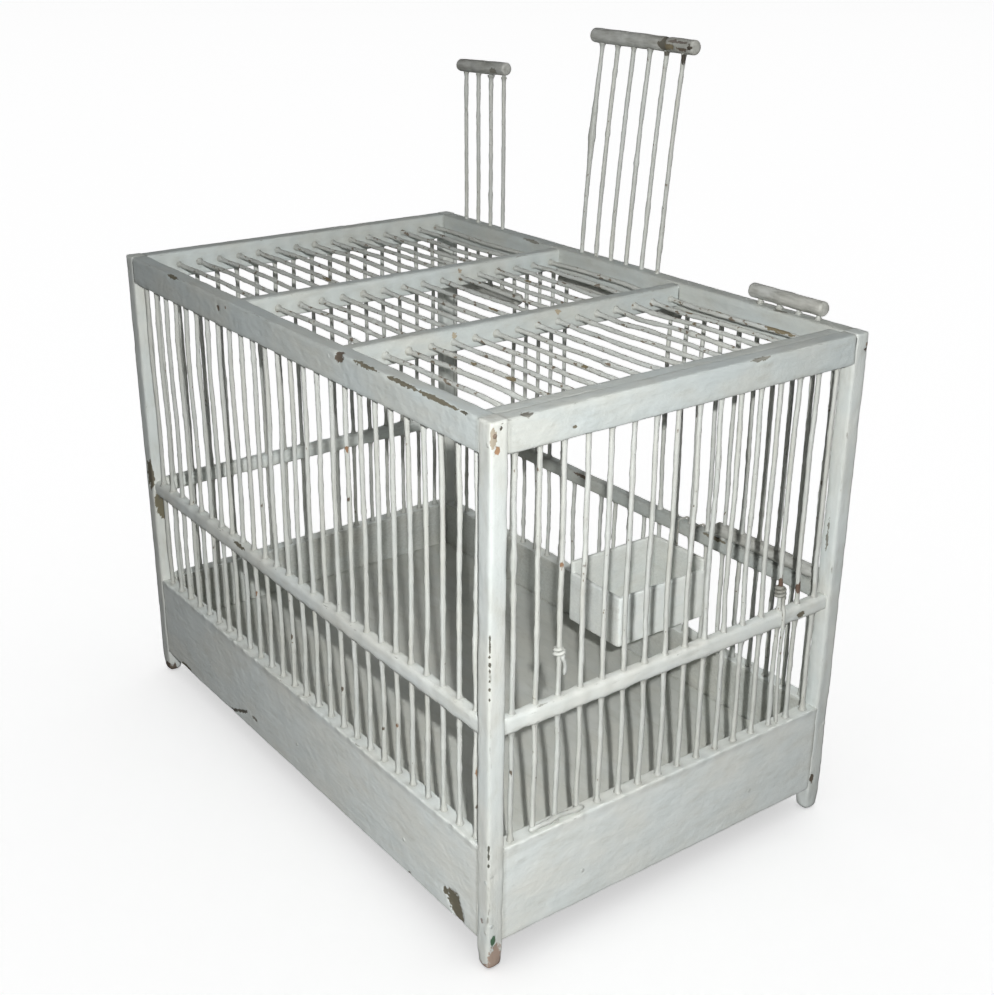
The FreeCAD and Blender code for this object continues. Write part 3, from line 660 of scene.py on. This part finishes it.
def paint(name, pale, warm, shade, dirt_and_shade, rough, streaks, brushed, rusty, flake, relief, placed=False):
    """Old brushed paint, darkened where a piece holds dirt and painted shade. It reads each piece's flow,
    mask, tint, edge, grime-and-shade and rust values.
    """
    made = bpy.data.materials.new(name)
    made.use_nodes = True
    tree = made.node_tree
    tree.nodes.clear()

    def value(attribute, output="Fac"):
        return add(tree, "ShaderNodeAttribute", attribute_name=attribute).outputs[output]

    if placed:
        place = add(tree, "ShaderNodeTexCoord").outputs["Object"]
        in_mm = {0: place, 1: (1 / MM, 1 / MM, 1 / MM)}
        flow = add(tree, "ShaderNodeVectorMath", in_mm, operation="MULTIPLY").outputs[0]
    else:
        flow = value("flow", "Vector")

    def cloud(scale, detail=3.0, rough=0.55):
        where = add(tree, "ShaderNodeVectorMath", {0: flow, 1: scale}, operation="MULTIPLY").outputs[0]
        links = {"Vector": where, "Scale": 1.0, "Detail": detail, "Roughness": rough}
        return add(tree, "ShaderNodeTexNoise", links).outputs["Fac"]

    def ramp(source, low, high, least=0.0, most=1.0):
        links = {"Value": source, "From Min": low, "From Max": high, "To Min": least, "To Max": most}
        return add(tree, "ShaderNodeMapRange", links, interpolation_type="SMOOTHSTEP").outputs[0]

    def calc(operation, a, b):
        return add(tree, "ShaderNodeMath", {0: a, 1: b}, operation=operation).outputs[0]

    def mix(share, a, b):
        return add(tree, "ShaderNodeMix", {0: share, 6: a, 7: b}, data_type="RGBA").outputs[2]

    broad = cloud((0.018, 0.03, 0.03))
    patch = cloud((0.05, 0.085, 0.085), 2.0, 0.5)
    streak = cloud(streaks, 4.0, 0.6)
    fine = cloud((0.55, 0.8, 0.8), 5.0, 0.65)
    blot = cloud((0.06, 0.17, 0.17), 4.0, 0.6)
    cool = (shade[0] * 0.94, shade[1] * 0.985, shade[2] * 1.01, 1)
    grime_and_shade_colour = (dirt_and_shade[0] * 0.42, dirt_and_shade[1] * 0.4, dirt_and_shade[2] * 0.36, 1)
    colour = mix(ramp(broad, 0.36, 0.64), (*pale, 1), (*warm, 1))
    colour = mix(ramp(patch, 0.42, 0.66, 0.0, 0.24), colour, cool)
    colour = mix(ramp(streak, 0.38, 0.75, 0.0, brushed), colour, (*shade, 1))
    colour = mix(ramp(fine, 0.52, 0.8, 0.0, 0.26), colour, (*shade, 1))
    colour = mix(ramp(blot, 0.5, 0.76, 0.0, 0.3), colour, (*dirt_and_shade, 1))
    # Dirt and painted shade: darker where the piece's value of dirt and painted shade is high, in corners, on
    # inner faces and on edges.
    spread = calc("MULTIPLY", value("grime_and_shade"), ramp(fine, 0.25, 0.75, 0.6, 1.0))
    colour = mix(spread, colour, grime_and_shade_colour)
    speck = cloud(flake, 3.0, 0.6)
    reach = calc("ADD", speck, calc("MULTIPLY", value("rust"), 0.2))
    colour = mix(ramp(reach, rusty, rusty + 0.05, 0.0, 0.85), colour, (*FLAKE, 1))
    rub = calc("MULTIPLY", value("edge"), ramp(cloud((0.1, 0.5, 0.5), 4.0, 0.7), 0.62, 0.69))
    colour = mix(rub, colour, (*GREY_OLD, 1))
    torn = cloud((0.32, 0.42, 0.42), 2.0, 0.5)
    ragged = calc("ADD", value("mask"), calc("MULTIPLY", calc("SUBTRACT", fine, 0.5), 1.1))
    ragged = calc("ADD", ragged, calc("MULTIPLY", calc("SUBTRACT", torn, 0.5), 1.5))
    bare = calc("MULTIPLY", ramp(ragged, 0.44, 0.6), ramp(value("mask"), 0.02, 0.2))
    grain = mix(ramp(streak, 0.3, 0.7), value("tint", "Color"), (*OLD_GRAIN, 1))
    under = mix(0.72, grain, value("tint", "Color"))
    colour = mix(bare, colour, under)
    lumps = cloud((0.22, 0.3, 0.3), 2.0, 0.5)
    height = calc("ADD", calc("MULTIPLY", streak, 0.7), calc("MULTIPLY", fine, 0.5))
    height = calc("ADD", height, calc("MULTIPLY", lumps, 1.1))
    height = calc("SUBTRACT", height, calc("MULTIPLY", bare, 0.6))
    bump = add(tree, "ShaderNodeBump", {"Strength": relief, "Distance": 0.0009, "Height": height}).outputs[0]
    gloss = calc("ADD", ramp(streak, 0.3, 0.7, rough - 0.07, rough + 0.1), calc("MULTIPLY", bare, 0.3))
    looks = {"Base Color": colour, "Roughness": gloss, "Normal": bump, "Specular IOR Level": 0.42}
    shader = add(tree, "ShaderNodeBsdfPrincipled", looks)
    add(tree, "ShaderNodeOutputMaterial", {"Surface": shader.outputs[0]})
    return made


WOOD_PAINT = paint(
    "wood_paint", (0.638, 0.677, 0.658), (0.645, 0.658, 0.614), (0.552, 0.584, 0.564), (0.42, 0.415, 0.35),
    rough=0.52, streaks=(0.014, 0.3, 0.3), brushed=0.3, rusty=0.8, flake=(0.3, 0.3, 0.3), relief=0.28)
# A lighter copy of the wood paint for the base boards and mid rails: painted light.
BOARD_PAINT_LIT = paint(
    "board_paint_lit", (0.73, 0.773, 0.752), (0.735, 0.75, 0.70), (0.635, 0.668, 0.645), (0.47, 0.465, 0.40),
    rough=0.45, streaks=(0.014, 0.3, 0.3), brushed=0.3, rusty=0.8, flake=(0.3, 0.3, 0.3), relief=0.28)
# A darker copy of the wood paint for the top rails, sill and roof bars: painted shade.
RAIL_PAINT_SHADED = paint(
    "rail_paint_shaded", (0.565, 0.61, 0.598), (0.57, 0.59, 0.552), (0.48, 0.52, 0.512), (0.38, 0.38, 0.325),
    rough=0.43, streaks=(0.016, 0.32, 0.32), brushed=0.32, rusty=0.79, flake=(0.35, 0.35, 0.35), relief=0.36)
WIRE_PAINT = paint(
    "wire_paint", (0.56, 0.58, 0.553), (0.545, 0.555, 0.512), (0.44, 0.45, 0.42), (0.32, 0.305, 0.245),
    rough=0.4, streaks=(0.12, 0.5, 0.5), brushed=0.6, rusty=0.72, flake=(0.21, 0.32, 0.1), relief=0.5)
HOOK_PAINT = paint(
    "hook_paint", (0.50, 0.51, 0.48), (0.47, 0.46, 0.41), (0.33, 0.32, 0.28), (0.28, 0.25, 0.18),
    rough=0.45, streaks=(0.2, 0.5, 0.5), brushed=0.7, rusty=0.62, flake=(0.3, 0.3, 0.3), relief=0.6,
    placed=True)
FLOOR_PAINT = paint(
    "floor_paint", (0.575, 0.59, 0.555), (0.56, 0.565, 0.515), (0.48, 0.495, 0.455), (0.37, 0.36, 0.30),
    rough=0.55, streaks=(0.02, 0.12, 0.12), brushed=0.4, rusty=0.8, flake=(0.25, 0.25, 0.25), relief=0.3)
FEEDER_PAINT = paint(
    "feeder_paint", (0.86, 0.90, 0.878), (0.862, 0.886, 0.84), (0.77, 0.815, 0.795), (0.57, 0.57, 0.51),
    rough=0.62, streaks=(0.03, 0.3, 0.3), brushed=0.35, rusty=0.8, flake=(0.3, 0.3, 0.3), relief=0.3)
ROD_PAINT = paint(
    "rod_paint", (0.52, 0.53, 0.505), (0.47, 0.47, 0.43), (0.27, 0.27, 0.24), (0.22, 0.205, 0.165),
    rough=0.5, streaks=(0.06, 0.3, 0.3), brushed=0.95, rusty=0.74, flake=(0.16, 0.4, 0.4), relief=0.7)


def piece(name, shells, material, body, slot, *nodes):
    """Makes one object of the shells, riding on its body in place of the CAD nodes."""
    mesh = bpy.data.meshes.new(name)
    points = np.concatenate([s.points for s in shells]) * MM
    faces, start = [], 0
    for s in shells:
        faces += [[i + start for i in face] for face in s.faces]
        start += len(s.points)
    mesh.from_pydata(points.tolist(), [], faces)

    def joined(key):
        return np.concatenate([s.values[key] for s in shells])

    def store(key, kind, field, values):
        layer = mesh.attributes.new(key, kind, "POINT")
        layer.data.foreach_set(field, values.astype(np.float32).ravel())

    for key in PAINT_VALUES:
        store(key, "FLOAT", "value", joined(key))
    store("flow", "FLOAT_VECTOR", "vector", joined("flow"))
    tint = joined("tint")
    store("tint", "FLOAT_COLOR", "color", np.concatenate([tint, np.ones((len(tint), 1))], 1))
    mesh.polygons.foreach_set("use_smooth", np.ones(len(mesh.polygons), bool))
    mesh.update()
    mesh.materials.append(material)
    made = bpy.data.objects.new(name, mesh)
    scene.collection.objects.link(made)
    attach(made, body)
    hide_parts(*nodes)


def node_box(node):
    """Lowest and highest corner of a CAD node in millimetres."""
    low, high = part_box(node)
    return np.array(low) / MM, np.array(high) / MM


# Collars of wires: place along the wire, and which way the wire leaves the wood.
WALL_COLLARS = [(BOARD_TOP, 1), (MID_RAIL[0], -1), (MID_RAIL[1], 1), (RAIL_UNDER, -1)]
BACK_COLLARS = [(BOARD_TOP, 1), (SILL[0], -1), (SILL[1], 1), (RAIL_UNDER, -1)]
UNDER_COLLARS = [(BOARD_TOP, 1), (SILL[0], -1)]
ROOF_COLLARS = [(-END_INNER, 1)]
for bar_x in (-ROOF_BAR_X, ROOF_BAR_X):
    ROOF_COLLARS += [(bar_x - ROOF_BAR_HALF, -1), (bar_x + ROOF_BAR_HALF, 1)]
ROOF_COLLARS.append((END_BAR_X, -1))

# Fixed wires: node, collars, how far they bend, rust.
WIRE_SETS = [
    ("wires_front", WALL_COLLARS, 0.65, 0.2), ("wires_right", WALL_COLLARS, 0.65, 0.22),
    ("wires_left", WALL_COLLARS, 0.65, 0.3), ("wires_back", BACK_COLLARS, 0.65, 0.35),
    ("wires_under_doors", UNDER_COLLARS, 0.65, 0.3), ("wires_roof", ROOF_COLLARS, 1.15, 0.62),
]
# A bent wire that lies on the right base board, under paint.
LYING_WIRE = np.array([
    (181.0, -90.5, 69.2), (181.6, -85, 69.9), (182.0, -79, 70.1), (181.7, -74, 70.8),
    (181.4, -70, 70.4), (181.6, -65, 70.0), (181.9, -60.5, 70.3), (181.3, -57, 69.2),
])
LYING_RADIUS, LYING_RINGS = 1.45, 40
roots = []
for number, (node, collars, sway, rust) in enumerate(WIRE_SETS):
    shells = []
    for index, (low, high) in enumerate(solids(node)):
        shells.append(wire(node, index, low, high, collars, 100 * number + index + 3, sway, rust))
        t = int(np.argmax(high - low))
        for at, _ in collars:
            root = (low + high) / 2
            root[t] = at
            roots.append(root)
    if node == "wires_right":
        places = np.linspace(0, len(LYING_WIRE) - 1, LYING_RINGS)
        line = resample(LYING_WIRE, np.arange(len(LYING_WIRE)), places)
        thick = LYING_RADIUS + 0.3 * noise(line, 3.0, 63)
        thick[:3] *= (0.5, 0.75, 0.9)
        thick[-3:] *= (0.9, 0.75, 0.5)
        shells.append(sweep(line, thick, seed=77))
    piece(node + "_painted", shells, WIRE_PAINT, "cage", "wire", node)
roots = np.array(roots)

# Rounding of the two ends of a bar that butts on another, and of a post: foot and top.
BUTT, FOOT = (0.12, 0.12), (3.0, 0.5)
# Wooden bars of the frame: node, axis, edge radius, rounding of the two ends, worn, paint.
SIDES = (("front", "x"), ("back", "x"), ("left", "y"), ("right", "y"))
BARS = [("base_board_" + side, axis, 1.0, BUTT, 0.14, BOARD_PAINT_LIT) for side, axis in SIDES]
BARS += [("top_rail_" + side, axis, 1.0, BUTT, 0.25, RAIL_PAINT_SHADED) for side, axis in SIDES]
BARS += [("mid_rail_" + side, axis, 2.2, BUTT, 0.2, BOARD_PAINT_LIT) for side, axis in SIDES if side != "back"]
BARS += [
    ("door_sill", "x", 1.6, BUTT, 0.3, RAIL_PAINT_SHADED),
    ("post_front_left", "z", 1.1, FOOT, 0.35, WOOD_PAINT),
    ("post_front_right", "z", 1.2, FOOT, 0.35, WOOD_PAINT),
    ("post_back_left", "z", 1.1, FOOT, 0.35, WOOD_PAINT),
    ("post_back_right", "z", 1.1, FOOT, 0.35, WOOD_PAINT),
    ("roof_bar_left", "y", 1.3, BUTT, 0.3, RAIL_PAINT_SHADED),
    ("roof_bar_right", "y", 1.3, BUTT, 0.3, RAIL_PAINT_SHADED),
    ("roof_bar_end", "y", 1.2, BUTT, 0.3, RAIL_PAINT_SHADED),
    ("floor_panel", "x", 0.8, (0.5, 0.5), 0.2, FLOOR_PAINT),
]
# How far rails and boards run under the rounded edges of the posts, which paint fills.
POST_LAP = 0.7
# Painted shade in the joints at the posts, and how far from the bar's end it reaches.
SEAM_SHADE, SEAM_REACH = 0.45, 2.2
# Painted shade on worn, rounded edges, which dims the light they catch, and bars that are darker all over
# than the rest.
EDGE_SHADE = 0.15
DARKER_BARS = {"door_sill": 0.42, "roof_bar_right": 0.18, "top_rail_back": 0.12}
# Height of the rounded feet, how wavy the wood is, and the spacing of points where it differs.
PEG_HEIGHT = 13.0
POST_WAVES, BAR_WAVES = 0.22, {"door_sill": 0.06}
BAR_STEPS = {"floor_panel": 2.6, "base_board_front": 1.0}
# Soft smears of dirt, and a broad darkening towards the top of the near post: node, centre, radii, strength.
SMEARS_AND_DARKENING = [
    ("post_front_right", (182.2, -117.5, 265), (2.2, 1.6, 10), 0.34),
    # A broad darkening towards the top of the near post.
    ("post_front_right", (180.5, -112.5, 290), (14, 14, 110), 0.17),
]
for number, (node, axis, edge, ends, worn, look) in enumerate(BARS):
    low, high = node_box(node)
    t = "xyz".index(axis)
    laps = node.startswith(("base_board", "top_rail", "mid_rail", "door_sill"))
    if laps:
        low[t] -= POST_LAP
        high[t] += POST_LAP
    peg = PEG_HEIGHT if axis == "z" else 0.0
    wavy = POST_WAVES if axis == "z" else BAR_WAVES.get(node, 0.14)
    step = BAR_STEPS.get(node, 1.35)
    shell = bar(node, low, high, axis, edge, step, ends, 7 * number + 5, wavy, worn, peg)
    near = np.all((roots > low - 1) & (roots < high + 1), axis=1)
    # Painted shade on the rounded edges, and the darker bars.
    shell.values["grime_and_shade"] += DARKER_BARS.get(node, 0.0) + EDGE_SHADE * shell.values["edge"]
    dirt_and_shade_at_roots(shell, roots[near])
    for name, centre, radii, strength in SMEARS_AND_DARKENING:
        if name == node:
            away = np.linalg.norm((shell.points - centre) / radii, axis=1)
            shell.darken_to(strength * np.exp(-away ** 2))
    # Painted shade in the joint where the bar meets a post.
    if laps:
        seam = np.minimum(shell.points[:, t] - low[t], high[t] - shell.points[:, t])
        shell.darken_to(SEAM_SHADE * smooth(-seam, -SEAM_REACH, -POST_LAP))
    if node.startswith("mid_rail"):
        knuckle(shell, (low + high) / 2, t, roots[near])
    if node.startswith("base_board"):
        across = "y" if axis == "x" else "x"
        bead(shell, across, high[2], roots[near])
        shade_inner_face(shell, across)
    slot = "floor" if node == "floor_panel" else "frame"
    piece(node + "_painted", [shell], look, "cage", slot, node)

# Feeder box: five thin boards. The sides run into each other, so that paint rounds the corners.
low, high = node_box("feeder_box")
FEEDER_WALL, FEEDER_CUT, FEEDER_LAP = 3.0, 7.0, 0.35
inner_low, inner_high = low + FEEDER_WALL, high - FEEDER_WALL
low_top = high[2] - FEEDER_CUT
start, stop = low + FEEDER_LAP, high - FEEDER_LAP
floor_high = (inner_high[0], inner_high[1], low[2] + FEEDER_WALL)
# Lowest and highest corner, axis, rounding of the ends, and painted shade, which is more on the inside and
# left faces than on the right one.
FEEDER_BOARDS = [
    ((low[0], start[1], low[2]), (inner_low[0], stop[1], high[2]), "y", 1.3, 0.28),
    ((inner_high[0], start[1], low[2]), (high[0], stop[1], low_top), "y", 1.3, 0.08),
    ((start[0], low[1], low[2]), (stop[0], inner_low[1], low_top), "x", 1.3, 0.3),
    ((start[0], inner_high[1], low[2]), (stop[0], high[1], high[2]), "x", 1.3, 0.36),
    ((inner_low[0], inner_low[1], low[2]), floor_high, "y", 0.5, 0.3),
]
shells = []
for k, (a, b, axis, end, dirt_and_shade) in enumerate(FEEDER_BOARDS):
    shell = bar("feeder_box", a, b, axis, 1.0, 1.3, (end, end), seed=300 + 9 * k, wavy=0.1, worn=0.2)
    # Painted shade: the boards turned from the light are darker than the right one.
    shell.values["grime_and_shade"] += dirt_and_shade
    shells.append(shell)
piece("feeder_box_painted", shells, FEEDER_PAINT, "cage", "feeder", "feeder_box")

# Doors: the middle one leans a little, as an old door does. How far its handle is off, and the
# height over the rail at which it is off that far.
MIDDLE_LEAN, LEAN_HEIGHT = (9.6, 3.2, 4.6), 122.0


def middle_lean(points):
    """How far the middle door's wires are off their straight place."""
    share = np.clip((points[:, 2] - RAIL_TOP) / LEAN_HEIGHT, 0, 1.05)[:, None]
    return share ** 1.25 * np.array(MIDDLE_LEAN)


# Body, tilt of the handle, how far the handle is off its straight place.
DOORS = [
    ("door_left", 1.5, (-1.8, 0, 1.2)),
    ("door_middle", -1.0, MIDDLE_LEAN),
    ("door_right", 0.0, (-1.5, 0, 2.0)),
]
HANDLE_SEED, ROD_SEED, DOOR_WIRE_SEED = 500, 520, 600
DOOR_SWAY, DOOR_RUST = 0.3, 0.4
for number, (body, tilt, shift) in enumerate(DOORS):
    lean = middle_lean if body == "door_middle" else None
    low, high = node_box(body + "_handle")
    handle = round_bar(body + "_handle", low, high, HANDLE_SEED + number, tilt, shift)
    bar_low, bar_high = node_box(body + "_bar")
    rod = round_bar(body + "_bar", bar_low, bar_high, ROD_SEED + number, slim=0.3)
    collars = [(bar_high[2] - 0.4, 1), (low[2] + 0.4, -1)]
    shells, feet = [], []
    for index, (a, b) in enumerate(solids(body + "_wires")):
        seed = DOOR_WIRE_SEED + 20 * number + index
        shells.append(wire(body + "_wires", index, a, b, collars, seed, DOOR_SWAY, DOOR_RUST, lean))
        feet.append((a + b) / 2)
    feet = np.array(feet)
    feet[:, 2] = low[2]
    dirt_and_shade_at_roots(handle, feet + shift)
    feet[:, 2] = bar_high[2]
    dirt_and_shade_at_roots(rod, feet)
    piece(body + "_handle_painted", [handle], ROD_PAINT, body, "frame", body + "_handle")
    piece(body + "_bar_painted", [rod], ROD_PAINT, body, "frame", body + "_bar")
    piece(body + "_wires_painted", shells, WIRE_PAINT, body, "wire", body + "_wires")

# Mended wires of the right end wall: one long coil with its tail, and one short one. The tail's
# places are measured from the mended wire in Y, the short one's from its lowest turn in Z too.
MEND_RADIUS, MEND_PAINT, MEND_STEP = 0.8, 0.18, 0.55
MEND_TAIL = np.array([
    (181.8, 4.4, 67.5), (181.9, 4.2, 69.5), (182.3, 2.4, 86), (182.6, 1.2, 104), (183.3, 0.4, 118),
    (184.3, -0.3, 128), (184.5, -0.5, 133), (184.3, -0.4, 137.4), (183.4, -0.3, 140.2),
])
MEND_RISE = np.array([(181.6, 2.4, -10), (182.2, 2.3, -6), (182.6, 1.6, -2.5)])
shells = []
for number, (low, high) in enumerate(solids("mend_wires")):
    y = -PITCH * 5.5 if (low + high)[1] < 0 else PITCH * 5.5
    turns = 2 if y < 0 else 3
    coil = (high[0] - low[0]) / 2 - MEND_RADIUS
    a = np.linspace(0, 2 * math.pi * turns, 26 * turns)
    z = np.linspace(low[2] + MEND_RADIUS, high[2] - MEND_RADIUS, len(a))
    line = np.stack([END_WALL_X + coil * np.cos(a), y + coil * np.sin(a), z], 1)
    lead = MEND_TAIL + (0, y, 0) if y > 0 else MEND_RISE + (0, y, z[0])
    line = np.concatenate([lead, line])
    run = lengths(line)
    line = resample(line, run, np.linspace(0, run[-1], int(run[-1] / MEND_STEP)))
    for _ in range(2):
        line[1:-1] = (line[:-2] + 2 * line[1:-1] + line[2:]) / 4
    thick = MEND_RADIUS + MEND_PAINT + 0.16 * noise(line, 1.8, 41)
    thick[:4] *= np.linspace(0.5, 1, 4)
    thick[-4:] *= np.linspace(1, 0.5, 4)
    made = sweep(line, thick, seed=80 + number, rust=0.45)
    if y > 0:
        made.values["grime_and_shade"] = 0.75 * smooth(made.points[:, 2], 138, 146)
    shells.append(made)
piece("mend_wires_painted", shells, WIRE_PAINT, "cage", "wire", "mend_wires")

# Nail heads, slightly domed. Most are painted over.
BARE_NAILS = np.array([
    (185, -115.35, 276), (185, 115.35, 276), (-54, -117.3, 278), (-185, 115.35, 56), (111, 117, 34),
])
# Profile of a head: place outward from the wood, radius.
NAIL_PROFILE = [(-1.6, 0.8), (-0.5, 0.9), (0.0, 1.15), (0.07, 0.85), (0.09, 0.35)]
NAIL_SIDES = 14
shells = []
for number, (low, high) in enumerate(solids("nails")):
    t = int(np.argmax(high - low))
    out = 1.0 if (low + high)[t] > 0 else -1.0
    tip = (low + high) / 2
    tip[t] = high[t] if out > 0 else low[t]
    way = np.zeros(3)
    way[t] = out
    line = [tip + way * place for place, _ in NAIL_PROFILE]
    head = sweep(line, [radius for _, radius in NAIL_PROFILE], NAIL_SIDES, number)
    bare = np.linalg.norm(BARE_NAILS - tip, axis=1).min() < 3
    head.values["mask"] += 0.85 if bare else 0.0
    head.values["tint"][:] = NAIL_BROWN if bare else UMBER
    head.values["grime_and_shade"] += 0.15
    shells.append(head)
piece("nail_heads", shells, WOOD_PAINT, "cage", "nail", "nails")

# The hooks keep their CAD shape.
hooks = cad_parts["feeder_hooks"]
hooks.data.materials.clear()
hooks.data.materials.append(HOOK_PAINT)

# Floor with a coved wall round it, light and camera.
floor_mesh = bpy.data.meshes.new("floor")
WALL_RADIUS, WALL_HEIGHT, COVE, WALL_SIDES = 12.0, 9.0, 2.0, 72
profile = [(WALL_RADIUS - COVE, 0.0)]
for k in range(1, 9):
    a = math.pi / 2 * k / 8
    profile.append((WALL_RADIUS - COVE * (1 - math.sin(a)), COVE * (1 - math.cos(a))))
profile.append((WALL_RADIUS, WALL_HEIGHT))
corners = [(r * math.cos(2 * math.pi * k / WALL_SIDES), r * math.sin(2 * math.pi * k / WALL_SIDES), z)
           for r, z in profile for k in range(WALL_SIDES)]
sides = [list(range(WALL_SIDES))]
for row in range(len(profile) - 1):
    for k in range(WALL_SIDES):
        i, j = row * WALL_SIDES + k, row * WALL_SIDES + (k + 1) % WALL_SIDES
        sides.append([i, i + WALL_SIDES, j + WALL_SIDES, j])
floor_mesh.from_pydata(corners, [], sides)
for face in floor_mesh.polygons[1:]:
    face.material_index = 1
    face.use_smooth = True
floor = bpy.data.objects.new("floor", floor_mesh)
scene.collection.objects.link(floor)


def plain_look(name, grey, glow):
    """A plain matt look with a little light of its own."""
    look = bpy.data.materials.new(name)
    look.use_nodes = True
    sockets = look.node_tree.nodes["Principled BSDF"].inputs
    sockets["Base Color"].default_value = (grey, grey, grey, 1)
    sockets["Roughness"].default_value = 0.9
    sockets["Specular IOR Level"].default_value = 0.1
    sockets["Emission Color"].default_value = (1, 1, 1, 1)
    sockets["Emission Strength"].default_value = glow
    return look


floor_mesh.materials.append(plain_look("floor_pale", 0.86, 0.53))
floor_mesh.materials.append(plain_look("wall_pale", 0.3, 0.98))
floor.visible_diffuse = False
floor.visible_glossy = False

world = bpy.data.worlds.new("studio")
scene.world = world
world.use_nodes = True
world.node_tree.nodes["Background"].inputs["Color"].default_value = (0.97, 0.98, 1.0, 1)
world.node_tree.nodes["Background"].inputs["Strength"].default_value = 0.055


def lamp(name, kind, place, aim, energy, lit, shiny=True, **settings):
    """A lamp that lights one collection only."""
    data = bpy.data.lights.new(name, kind)
    data.energy = energy
    for key, value in settings.items():
        setattr(data, key, value)
    made = bpy.data.objects.new(name, data)
    made.location = place
    made.rotation_euler = (Vector(aim) - Vector(place)).to_track_quat("-Z", "Y").to_euler()
    made.visible_glossy = shiny
    scene.collection.objects.link(made)
    made.light_linking.receiver_collection = lit


CAMERA_PLACE = Vector((0.6220, -0.4407, 0.4759))
CAMERA_AIM = Vector((-0.0046, 0.0276, 0.1500))
CAMERA_ROLL = math.radians(0.453)
# Focal length and picture size in pixels, and the sensor's width in millimetres.
F_PIXELS, IMAGE_HEIGHT, SENSOR = 1415.7, 995, 36.0

only_floor = bpy.data.collections.new("floor_light")
only_floor.objects.link(floor)
not_floor = bpy.data.collections.new("part_light")
not_floor.objects.link(floor)
not_floor.collection_objects[0].light_linking.link_state = "EXCLUDE"

key_place = CAMERA_AIM + (CAMERA_PLACE - CAMERA_AIM) * 1.05 + Vector((0.024, 0.032, 0.04))
lamp("key", "AREA", key_place, CAMERA_AIM, 7.2, not_floor, shape="DISK", size=0.014)
lamp("soft_back", "AREA", (-1.1, 1.0, 0.36), (0, 0, 0.15), 18.0, not_floor, False, shape="SQUARE", size=0.7)
lamp("soft_over", "AREA", (0.1, -0.05, 1.6), (0, 0, 0.2), 2.2, not_floor, False, shape="SQUARE", size=1.2)
lamp("bounce", "AREA", (0.36, -0.50, 0.012), (0, 0, 0.06), 0.9, not_floor, False, shape="DISK", size=0.2)
lamp("floor_sky", "SUN", (0, 0, 3), (0, 0, 0), 1.75, only_floor, angle=2.4)

camera_data = bpy.data.cameras.new("camera")
camera_data.sensor_width = SENSOR
camera_data.lens = SENSOR * F_PIXELS / IMAGE_HEIGHT
camera_data.clip_start, camera_data.clip_end = 0.01, 60
camera = bpy.data.objects.new("camera", camera_data)
turn = (CAMERA_AIM - CAMERA_PLACE).to_track_quat("-Z", "Y").to_matrix().to_4x4()
camera.matrix_world = Matrix.Translation(CAMERA_PLACE) @ turn @ Matrix.Rotation(CAMERA_ROLL, 4, "Z")
scene.collection.objects.link(camera)
scene.camera = camera
scene.view_settings.view_transform = "Standard"

bpy.context.view_layer.update()
